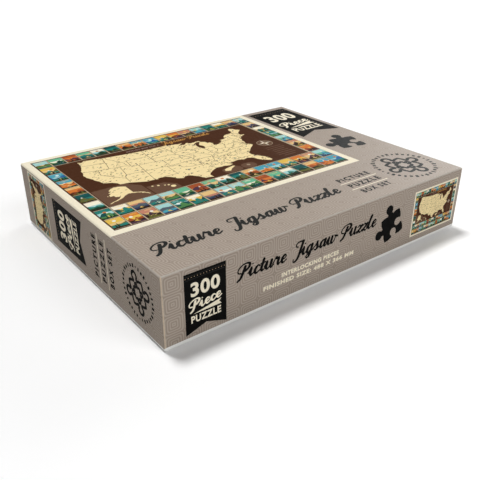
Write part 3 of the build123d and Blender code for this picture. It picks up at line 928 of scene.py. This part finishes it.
def film_bag():
    """A clear film pillow over the heap, domed and creased, with a crimped seal at each end."""
    low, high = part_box("piece_bag")
    heap_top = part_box("piece_layer_15")[1].z
    half_x = (high.x - low.x) / 2 - 6 * MM
    half_y = (high.y - low.y) / 2
    bulge = 3.6 * MM  # how far the air lifts the film's middle
    crease = 2.6 * MM  # depth of the deepest creases
    slack = 1.2 * MM  # room between the film and the heap
    middle = (low.z + high.z) / 2
    across = 120
    along = 96

    def film(side, u, v):
        """A place on the upper (1) or lower (-1) film, from how far out it is, -1 to 1 each way."""
        x = half_x * u
        y = half_y * v
        dome = ((1 - abs(u) ** 24) * (1 - abs(v) ** 24)) ** 0.42
        if side < 0:
            return x, y, middle - dome * (middle - low.z)
        spot = Vector((x * 26, y * 30, 3.0))
        fold = abs(noise.noise(spot)) + 0.5 * abs(noise.noise(spot * 2.3))
        return x, y, middle + dome * (heap_top - middle + bulge * dome**3 - crease * fold + slack)

    us, vs = [[math.sin(math.pi / 2 * (2 * i / n - 1)) for i in range(n + 1)] for n in (across, along)]
    verts = [film(side, u, v) for side in (1, -1) for v in vs for u in us]
    faces = []
    count = (across + 1) * (along + 1)
    for j in range(along):
        for i in range(across):
            a = j * (across + 1) + i
            b = a + across + 1
            faces.append((a, a + 1, b + 1, b))
            faces.append((count + a, count + b, count + b + 1, count + a + 1))
    # A flat crimped seal closes each end
    steps = 90
    seal_start = half_x - 1.5 * MM
    seal_width = 7.4 * MM
    seal_half = half_y - 20 * MM
    for end in (-1, 1):
        for level, i, j in itertools.product((-1, 1), range(2), range(steps + 1)):
            x = end * (seal_start + seal_width * i)
            y = (j / steps - 0.5) * 2 * seal_half
            verts.append((x, y, middle + level * 0.3 * MM + 0.15 * MM * math.sin(j * 1.6)))
        first = len(verts) - 4 * (steps + 1)
        rows = [first + k * (steps + 1) for k in (0, 1, 3, 2)]
        for j in range(steps):
            for a, b in zip(rows, rows[1:] + rows[:1]):
                quad = (a + j, b + j, b + j + 1, a + j + 1)
                faces.append(quad if end < 0 else quad[::-1])
        for j in (0, steps):
            cap = tuple(row + j for row in rows)
            faces.append(cap if (end > 0) == (j > 0) else cap[::-1])
    mesh = bpy.data.meshes.new("film_bag")
    mesh.from_pydata(verts, [], faces)
    bag = new_object("film_bag", mesh)
    weld = bag.modifiers.new("weld", "WELD")
    weld.merge_threshold = 0.05 * MM
    mesh.materials.append(film_material())
    mesh.shade_smooth()
    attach(bag, "base")
    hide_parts("piece_bag")


def number_islands(shape, rng):
    """Gives every separate piece of a mesh one random number of its own."""
    own = shape.verts.layers.float.new("own")
    seen = set()
    for start in shape.verts:
        if start in seen:
            continue
        number = rng.random()
        front = [start]
        seen.add(start)
        while front:
            vert = front.pop()
            vert[own] = number
            for edge in vert.link_edges:
                other = edge.other_vert(vert)
                if other not in seen:
                    seen.add(other)
                    front.append(other)


def loose_pieces():
    """The loose jigsaw pieces, each with its own cut-out of the print, face up or down."""
    rng = random.Random(4)
    for i in range(1, 16):
        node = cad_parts[f"piece_layer_{i:02d}"]
        shape = bmesh.new()
        shape.from_mesh(node.data)
        bmesh.ops.remove_doubles(shape, verts=shape.verts, dist=0.005 * MM)
        number_islands(shape, rng)
        mesh = bpy.data.meshes.new(f"loose_pieces_{i:02d}")
        shape.to_mesh(mesh)
        shape.free()
        mesh.materials.clear()
        mesh.materials.append(piece_material(f"jigsaw_board_{i:02d}", float(i)))
        for polygon in mesh.polygons:
            polygon.use_smooth = False
            polygon.material_index = 0
        heap = new_object(mesh.name, mesh)
        heap.matrix_world = node.matrix_world.copy()
        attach(heap, "base")
        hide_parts(node.name)


def dress_cad_nodes():
    """Gives each carried-over node its own material."""
    tape = board_material("gummed_tape", (176, 140, 100), (196, 164, 124), 900)
    greyboard = board_material("greyboard", (150, 142, 130), (176, 168, 154), 600)
    materials = {
        "lid_wrap": wrap_material(), "lid_board": greyboard, "lid_corner_stays": tape,
        "base_wrap": white_paper_material(), "base_board": greyboard, "base_corner_stays": tape,
        "base_bottom_paper": white_paper_material(),
    }
    for node, material in materials.items():
        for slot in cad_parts[node].material_slots:
            slot.material = material


# ---- Stage ----


def make_stage():
    """The pale floor, the world and the two suns."""
    mesh = bpy.data.meshes.new("floor")
    mesh.from_pydata([(-6, -6, 0), (6, -6, 0), (6, 6, 0), (-6, 6, 0)], [], [(0, 1, 2, 3)])
    nodes = Nodes("pale_floor")
    mesh.materials.append(nodes.finish(
        Base_Color=nodes.mix(nodes.clouds(3), rgb(254, 254, 254), rgb(252, 252, 252)),
        Roughness=0.9,
        Emission_Color=(1, 1, 1, 1),
        Emission_Strength=0.02,
    ))
    new_object("floor", mesh)
    # The world is a soft glow for the wrap to mirror, and plain white to the camera
    nodes = Nodes("studio", world=True)
    ways = {0: nodes.add("ShaderNodeTexCoord").outputs["Generated"], 1: (0.93, 0.33, 0.17)}
    toward = nodes.add("ShaderNodeVectorMath", ways, operation="DOT_PRODUCT").outputs["Value"]
    glow = nodes.range(toward, 0.89, 1.0, 0.04, 5.6)
    seen = nodes.add("ShaderNodeLightPath").outputs["Is Camera Ray"]
    bpy.context.scene.world = nodes.finish(Color=(1, 1, 1, 1), Strength=nodes.math("MAXIMUM", glow, seen))
    for name, energy, angle, way in (
        ("key", 2.3, 12, (-0.04, 0.27, 0.95)),
        ("fill", 1.08, 40, (0.27, -0.76, 0.59)),
    ):
        sun = bpy.data.lights.new(name, "SUN")
        sun.energy = energy
        sun.angle = math.radians(angle)
        lamp = new_object(name, sun)
        lamp.location = way
        lamp.rotation_euler = (-Vector(way)).to_track_quat("-Z", "Y").to_euler()
    bpy.context.scene.view_settings.view_transform = "Standard"


def make_camera():
    camera = bpy.data.cameras.new("camera")
    camera.lens = 45.91
    camera.sensor_width = 36.0
    holder = new_object("camera", camera)
    holder.location = (-0.25438, -0.33728, 0.21039)
    looking = Vector((0.532627, 0.705224, -0.467940))
    holder.rotation_euler = looking.to_track_quat("-Z", "Y").to_euler()
    bpy.context.scene.camera = holder


make_camera()
make_stage()
dress_cad_nodes()
loose_pieces()
print_lid()
film_bag()
